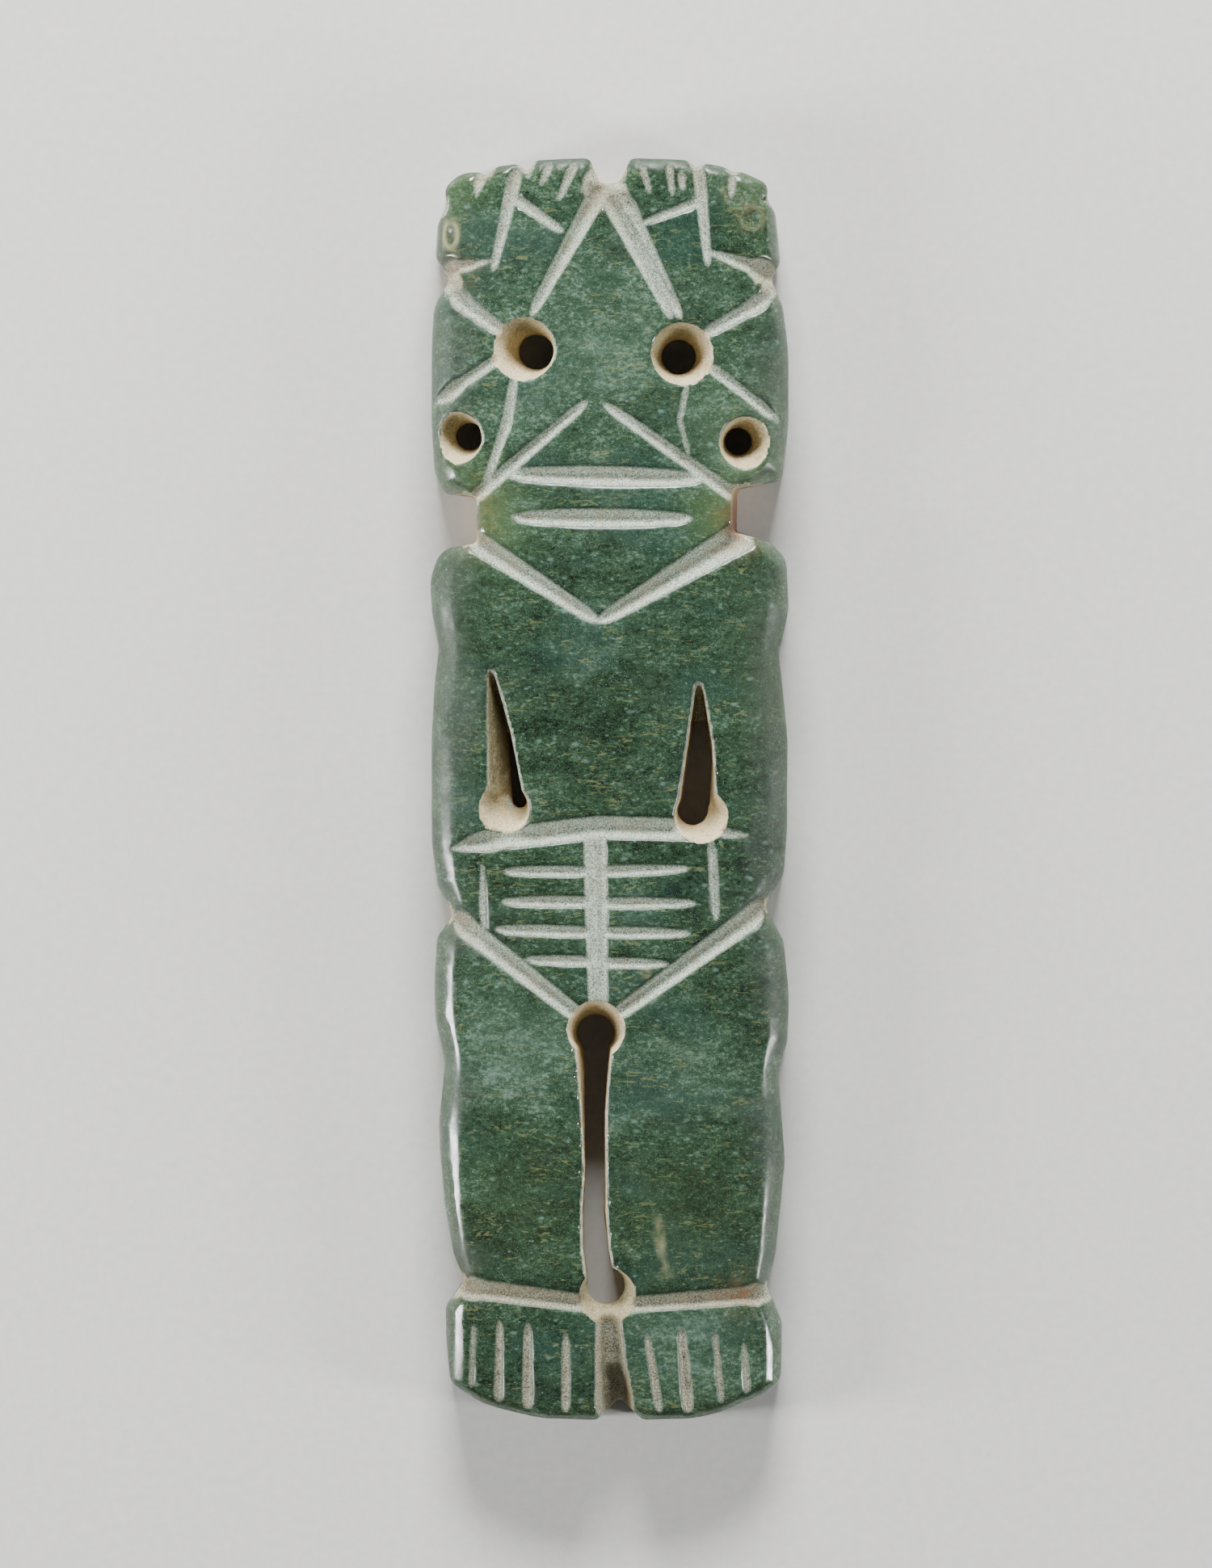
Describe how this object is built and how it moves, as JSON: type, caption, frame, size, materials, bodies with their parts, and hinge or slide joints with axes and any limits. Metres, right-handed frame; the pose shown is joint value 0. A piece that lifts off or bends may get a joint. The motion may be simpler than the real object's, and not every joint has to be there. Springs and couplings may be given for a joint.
{
  "type": "jade figure pendant",
  "caption": "Flat carved stone figure with drilled eyes and ears, slots beside its arms and between its legs, to hang on a cord.",
  "frame": {"origin": "middle of the flat back, at the centre of the bounding box's underside", "axes": "+X to the right as the face is seen, +Y from the soles to the crown, +Z out of the face"},
  "size_m": [0.0426, 0.15, 0.013],
  "materials": {
    "jade": "polished, with matt sawn grooves"
  },
  "bodies": {
    "root": {"jade_figure": "jade"}
  },
  "joints": []
}
